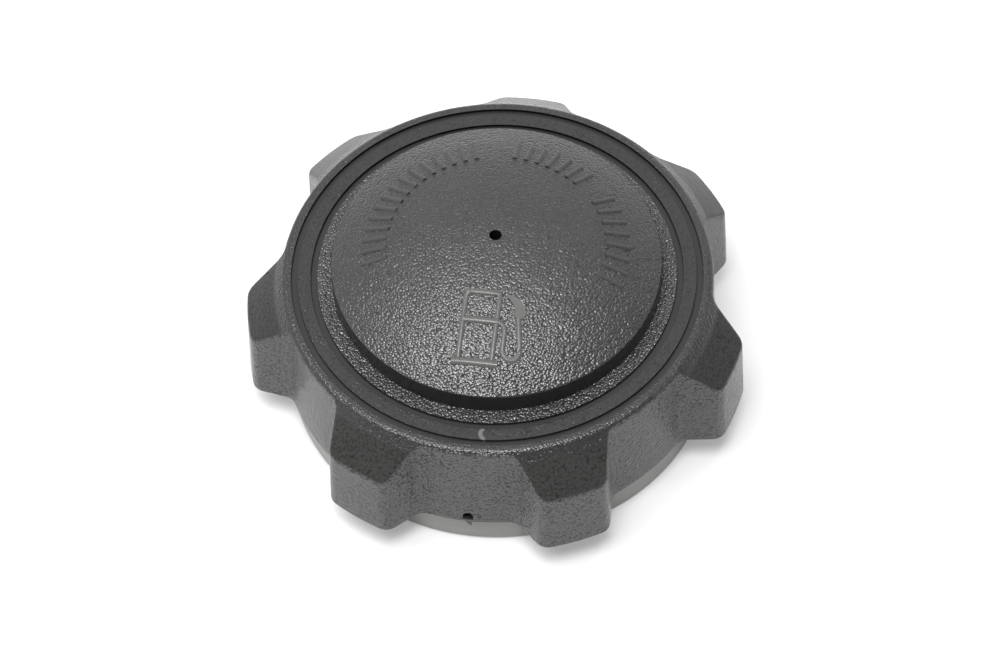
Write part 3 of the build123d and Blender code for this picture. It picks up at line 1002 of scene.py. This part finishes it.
@dataclass
class PumpSign:
    """Raised line drawing of a fuel pump at the front of the dome."""

    form: CapForm = CapForm()
    turn: float = -10.2
    left: float = -3.3 * MM
    right: float = 2.55 * MM
    top: float = -11.5 * MM
    sill: float = -16.5 * MM
    bottom: float = -23.6 * MM
    base_overhang: float = 1.05 * MM
    stroke_width: float = 0.80 * MM
    bar_width: float = 1.05 * MM
    stroke_height: float = 0.32 * MM
    foot: float = 0.08 * MM
    hose_left: float = 4.15 * MM
    hose_right: float = 7.15 * MM
    hose_bottom: float = -21.1 * MM
    hose_lean: float = 0.95 * MM
    arc_step: float = 15.0
    nozzle_foot: float = -15.4 * MM
    nozzle_outline: tuple[Point, ...] = (
        (-0.75 * MM, 0.0),
        (0.75 * MM, -0.1 * MM),
        (1.2 * MM, 0.8 * MM),
        (0.9 * MM, 1.9 * MM),
        (0.2 * MM, 2.9 * MM),
        (-0.9 * MM, 3.6 * MM),
        (-2.2 * MM, 3.9 * MM),
        (-2.9 * MM, 3.6 * MM),
        (-1.9 * MM, 3.1 * MM),
        (-1.1 * MM, 2.2 * MM),
        (-0.85 * MM, 1.2 * MM),
    )
    cuts: int = 7
    weld: float = 0.001 * MM

    def lines(self) -> list[list[Point]]:
        """Lay out the strokes of the usual width.

        Returns:
            The flat paths of the pump's frame and hose.
        """
        frame_path = [
            (self.left, self.bottom),
            (self.left, self.top),
            (self.right, self.top),
            (self.right, self.bottom),
        ]
        return [frame_path, self.hose()]

    def bars(self) -> list[list[Point]]:
        """Lay out the broader strokes.

        Returns:
            The flat paths of the sill and the base.
        """
        base_left = self.left - self.base_overhang
        base_right = self.right + self.base_overhang
        return [
            [(self.left, self.sill), (self.right, self.sill)],
            [(base_left, self.bottom), (base_right, self.bottom)],
        ]

    def arc(self, centre: Point, radius: float, start: float, end: float) -> list[Point]:
        """Lay out points along an arc, one every arc_step degrees.

        Args:
            centre: Centre of the arc.
            radius: Radius of the arc.
            start: Azimuth of its first point, in degrees.
            end: Azimuth of its last point, in degrees.

        Returns:
            The arc's plan points.
        """
        steps = round(abs(end - start) / self.arc_step)
        azimuths = [math.radians(start + (end - start) * n / steps) for n in range(steps + 1)]
        x, y = centre
        return [(x + radius * math.cos(a), y + radius * math.sin(a)) for a in azimuths]

    def hose(self) -> list[Point]:
        """Lead the hose from the frame down, round its loop and up to the nozzle.

        Returns:
            The hose's flat path.
        """
        bend = self.hose_left - self.right
        shoulder = self.arc((self.right, self.sill - bend), bend, 90.0, 0.0)
        middle = (self.hose_left + self.hose_right) / 2
        loop_radius = (self.hose_right - self.hose_left) / 2
        loop = self.arc((middle, self.hose_bottom), loop_radius, 180.0, 360.0)
        return [*shoulder, *loop, (self.hose_right - self.hose_lean, self.nozzle_foot)]

    def nozzle(self) -> list[Point]:
        """Return the outline of the nozzle, a curved blade over the hose's end."""
        x = self.hose_right - self.hose_lean
        return [(x + right, self.nozzle_foot + up) for right, up in self.nozzle_outline]

    def curve(self, name: str, paths: Sequence[Sequence[Point]], closed: bool) -> bpy.types.Object:
        """Draw paths as one flat curve object, turned to the sign's azimuth.

        Args:
            name: The object's name.
            paths: Paths of plan points.
            closed: Whether each path closes on itself.

        Returns:
            The curve object.
        """
        data = bpy.data.curves.new(name, "CURVE")
        data.dimensions = "3D"
        turn = Matrix.Rotation(math.radians(self.turn), 3, "Z")
        for path in paths:
            spline = data.splines.new("POLY")
            spline.points.add(len(path) - 1)
            spline.use_cyclic_u = closed
            for point, (x, y) in zip(spline.points, path):
                point.co = (*(turn @ Vector((x, y, 0.0))), 1.0)
        return bare_object(name, data)

    def stroked(
        self, name: str, paths: Sequence[Sequence[Point]], width: float, finish: bpy.types.Material
    ) -> bpy.types.Object:
        """Raise strokes of one width along paths on the dome.

        Args:
            name: The piece's name.
            paths: Paths of plan points.
            width: Width of the strokes.
            finish: Smooth plastic of the raised marks, painted lighter as a highlight on the
                strokes.

        Returns:
            The strokes, as one mesh.
        """
        tree = FormTree(f"{name}_form")
        finer = tree.node("GeometryNodeSubdivideCurve")
        tree.feed(finer.inputs["Curve"], tree.start.outputs[0])
        tree.feed(finer.inputs["Cuts"], tree.size("Cuts", self.cuts))
        stroke = tree.stroke(
            finer.outputs[0],
            tree.size("Stroke Width", width),
            tree.size("Stroke Height", self.stroke_height),
            tree.size("Foot", self.foot),
        )
        return tree.bake(self.curve(name, paths, False), tree.drape(stroke, self.form), finish)

    def blade(self, finish: bpy.types.Material) -> bpy.types.Object:
        """Raise the nozzle's blade on the dome.

        Args:
            finish: Smooth plastic of the raised marks, painted lighter as a highlight on the
                strokes.

        Returns:
            The blade's mesh.
        """
        tree = FormTree("pump_nozzle_form")
        filled = tree.node("GeometryNodeFillCurve", mode="TRIANGLES")
        tree.feed(filled.inputs[0], tree.start.outputs[0])
        raised = tree.node("GeometryNodeExtrudeMesh", mode="FACES")
        tree.feed(raised.inputs["Mesh"], filled.outputs[0])
        height = tree.size("Blade Height", self.stroke_height)
        tree.feed(raised.inputs["Offset"], tree.combine(z=height))
        tree.feed(raised.inputs["Offset Scale"], 1.0)
        raised.inputs["Individual"].default_value = False
        turned = tree.node("GeometryNodeFlipFaces")
        tree.feed(turned.inputs["Mesh"], filled.outputs[0])
        closed = tree.node("GeometryNodeJoinGeometry")
        for part in (raised.outputs[0], turned.outputs[0]):
            tree.feed(closed.inputs[0], part)
        merged = tree.node("GeometryNodeMergeByDistance")
        tree.feed(merged.inputs["Geometry"], closed.outputs[0])
        tree.feed(merged.inputs["Distance"], tree.size("Weld Distance", self.weld))
        outline = self.curve("pump_nozzle", [self.nozzle()], True)
        return tree.bake(outline, tree.drape(merged.outputs[0], self.form), finish)

    def build(self, finish: bpy.types.Material) -> list[bpy.types.Object]:
        """Make the sign's pieces and let them ride on the grip.

        Args:
            finish: Smooth plastic of the raised marks, painted lighter as a highlight on the
                strokes.

        Returns:
            The frame with its hose, the bars and the nozzle.
        """
        pieces = [
            self.stroked("pump_sign", self.lines(), self.stroke_width, finish),
            self.stroked("pump_sign_bars", self.bars(), self.bar_width, finish),
            self.blade(finish),
        ]
        for piece in pieces:
            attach(piece, Body.GRIP.value)
        return pieces


@dataclass(frozen=True)
class Lamp:
    """Square soft lamp: the way to it from the cap, its side, its power in watts and its reach."""

    name: str
    way: Triple
    side: float
    power: float
    reach: float = 1.0


@dataclass
class Studio:
    """White sheet, soft lamps, a room that is dim in front, and the photograph's camera."""

    floor_size: float = 4.0
    deck_centre: Triple = (0.0, 0.0, CapForm.deck_height)
    distance: float = 875 * MM
    elevation: float = 55.22
    roll: float = 2.4
    aim_right: float = -0.525 * MM
    aim_up: float = 10.49 * MM
    lens: float = 180.0
    sensor: float = 36.0
    clip: Span = (0.05, 20.0)
    bright_side: Triple = (-0.35, 0.94, 0.0)
    bright_facing: Span = (-0.75, 0.60)
    bright_level: float = 0.80
    dim_level: float = 0.20
    lamps: tuple[Lamp, ...] = (
        Lamp("top_lamp", way=(-0.26, -0.20, 0.94), side=0.60, power=5.8),
        Lamp("front_spark_lamp", way=(-0.02, -0.29, 0.95), side=0.34, power=4.4),
        Lamp("right_spark_lamp", way=(0.32, 0.20, 0.93), side=0.12, power=0.7),
        Lamp("left_spark_lamp", way=(-0.34, 0.30, 0.89), side=0.12, power=0.6),
    )

    def build(self) -> None:
        """Set up the floor, the light and the camera."""
        self.lay_floor()
        self.light_world()
        for lamp in self.lamps:
            self.hang(lamp)
        self.set_camera()
        bpy.context.scene.view_settings.view_transform = "Standard"

    def lay_floor(self) -> None:
        """Lay the sheet under the cap."""
        half = self.floor_size / 2
        mesh = bpy.data.meshes.new("floor_sheet")
        corners = [(-half, -half, 0), (half, -half, 0), (half, half, 0), (-half, half, 0)]
        mesh.from_pydata(corners, [], [(0, 1, 2, 3)])
        mesh.materials.append(FloorPaper().build())
        bare_object("floor_sheet", mesh)

    def light_world(self) -> None:
        """Make the room's light: bright behind, dim in front and white to the camera."""
        world = bpy.data.worlds.new("studio_room")
        world.use_nodes = True
        graph = Graph(world.node_tree)
        shader = world.node_tree.nodes["Background"]
        place = graph.node("ShaderNodeTexCoord")
        side = graph.vector("DOT_PRODUCT", place.outputs["Generated"], self.bright_side)
        behind = graph.step(side.outputs["Value"], *self.bright_facing)
        level = graph.blend(behind, self.dim_level, self.bright_level)
        to_camera = graph.node("ShaderNodeLightPath").outputs["Is Camera Ray"]
        graph.feed(shader.inputs["Strength"], graph.blend(to_camera, level, 1.0))
        shader.inputs["Color"].default_value = WHITE
        bpy.context.scene.world = world

    def hang(self, lamp: Lamp) -> None:
        """Hang a lamp so that it points at the cap.

        Args:
            lamp: The lamp's place, side and power.
        """
        data = bpy.data.lights.new(lamp.name, "AREA")
        data.shape = "SQUARE"
        data.size = lamp.side
        data.energy = lamp.power
        away = Vector(lamp.way).normalized()
        hung = bpy.data.objects.new(lamp.name, data)
        hung.location = Vector(self.deck_centre) + away * lamp.reach
        hung.rotation_euler = away.to_track_quat("Z", "Y").to_euler()
        bpy.context.scene.collection.objects.link(hung)

    def set_camera(self) -> None:
        """Put the camera where the photograph was taken from."""
        data = bpy.data.cameras.new("photo_camera")
        data.lens = self.lens
        data.sensor_width = self.sensor
        data.clip_start, data.clip_end = self.clip
        camera = bpy.data.objects.new("photo_camera", data)
        bpy.context.scene.collection.objects.link(camera)
        tilt = math.radians(self.elevation)
        turn = math.radians(self.roll)
        forward = Vector((0.0, math.cos(tilt), -math.sin(tilt)))
        level = Vector((1.0, 0.0, 0.0))
        rise = Vector((0.0, math.sin(tilt), math.cos(tilt)))
        right = level * math.cos(turn) - rise * math.sin(turn)
        up = level * math.sin(turn) + rise * math.cos(turn)
        aim = right * self.aim_right + up * self.aim_up + forward * self.distance
        place = Matrix((right, up, -forward)).transposed().to_4x4()
        place.translation = Vector(self.deck_centre) - aim
        camera.matrix_world = place
        bpy.context.scene.camera = camera


def main() -> None:
    """Dress the cap, add its thread and raised marks, and set up the studio."""
    logging.basicConfig(level=logging.INFO, format="%(name)s: %(message)s")
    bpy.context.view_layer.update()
    finishes = Finishes()
    finishes.dress_frame()
    pieces = [
        NeckThread().build(finishes.by_slot[Slot.CLOSURE]),
        DomeBars().build(finishes.bars),
        *PumpSign().build(finishes.sign),
    ]
    for piece in pieces:
        log.info("%s has %d faces", piece.name, len(piece.data.polygons))
    Studio().build()


if __name__ == "__main__":
    main()
